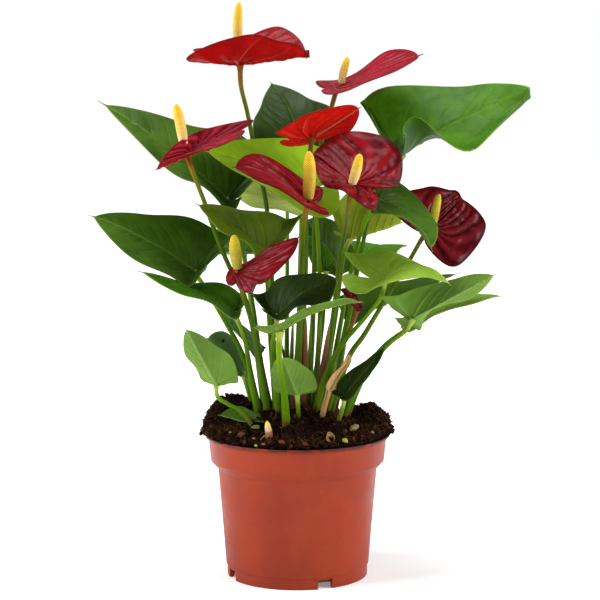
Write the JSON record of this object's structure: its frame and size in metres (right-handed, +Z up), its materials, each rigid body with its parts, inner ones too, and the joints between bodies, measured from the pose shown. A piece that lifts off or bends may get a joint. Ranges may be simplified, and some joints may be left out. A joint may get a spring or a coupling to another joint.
{
  "type": "potted anthurium",
  "caption": "Potted anthurium with heart-shaped leaves and red flowers on long stalks, standing in a terracotta coloured nursery pot filled with peat.",
  "frame": {"origin": "on the pot's axis at the ground, the centre of the pot's flat underside", "axes": "+Z up, -Y towards the plant's front, +X to the viewer's right"},
  "size_m": [0.2787, 0.237, 0.3705],
  "materials": {
    "pot_plastic": "satin terracotta coloured plastic",
    "peat": "dark fibrous peat",
    "leaf_dark": "dark green, glossy",
    "leaf_mid": "mid green, glossy",
    "leaf_bright": "bright yellow-green, satin",
    "leaf_pale": "pale green underside, matt",
    "spathe_red": "bright red, waxy gloss",
    "spathe_crimson": "dark crimson, waxy gloss",
    "spathe_maroon": "dark maroon, waxy gloss",
    "stalk_red": "reddish brown to green, satin",
    "spadix_golden": "golden yellow, finely bumpy",
    "spadix_green": "greenish yellow, finely bumpy",
    "root_pale": "pale tan, matt",
    "sheath_dry": "dry papery tan"
  },
  "bodies": {
    "root": {"pot": "pot_plastic", "soil": "peat", "leaf_upper_left": "leaf_dark", "leaf_mid_left": "leaf_dark", "leaf_lower_left": "leaf_bright", "leaf_small_left": "leaf_pale", "leaf_spotted": "leaf_dark", "leaf_on_soil": "leaf_dark", "leaf_centre_left": "leaf_mid", "leaf_bright_upper": "leaf_bright", "leaf_pale_inner": "leaf_pale", "leaf_top_centre": "leaf_dark", "leaf_top_right": "leaf_mid", "leaf_drooping_right": "leaf_dark", "leaf_yellow_inner": "leaf_bright", "leaf_mid_right": "leaf_mid", "leaf_pale_right": "leaf_pale", "leaf_low_right": "leaf_mid", "leaf_centre_front": "leaf_dark", "leaf_front": "leaf_mid", "leaf_small_front": "leaf_pale", "leaf_small_right": "leaf_dark", "leaf_inner_left": "leaf_dark", "leaf_back_right": "leaf_dark", "leaf_back_centre": "leaf_dark", "leaf_back_inner": "leaf_mid", "leaf_rear_upper": "leaf_mid", "leaf_rear_left": "leaf_dark", "leaf_rear_right": "leaf_mid", "stalk_top": "stalk_red", "spathe_top": "spathe_red", "spadix_top": "spadix_golden", "stalk_upper_right": "stalk_red", "spathe_upper_right": "spathe_crimson", "spadix_upper_right": "spadix_golden", "stalk_left": "stalk_red", "spathe_left": "spathe_crimson", "spadix_left": "spadix_golden", "stalk_red_behind": "stalk_red", "spathe_red_behind": "spathe_red", "spadix_red_behind": "spadix_golden", "stalk_big_dark": "stalk_red", "spathe_big_dark": "spathe_crimson", "spadix_big_dark": "spadix_golden", "stalk_dark_left": "stalk_red", "spathe_dark_left": "spathe_crimson", "spadix_dark_left": "spadix_golden", "stalk_right_dark": "stalk_red", "spathe_right_dark": "spathe_maroon", "spadix_right_dark": "spadix_green", "stalk_low_left": "stalk_red", "spathe_low_left": "spathe_crimson", "spadix_low_left": "spadix_green", "bud_withered": "spathe_maroon", "stem_stub": "sheath_dry", "root_tip": "root_pale", "dry_sheath": "sheath_dry"}
  },
  "joints": []
}
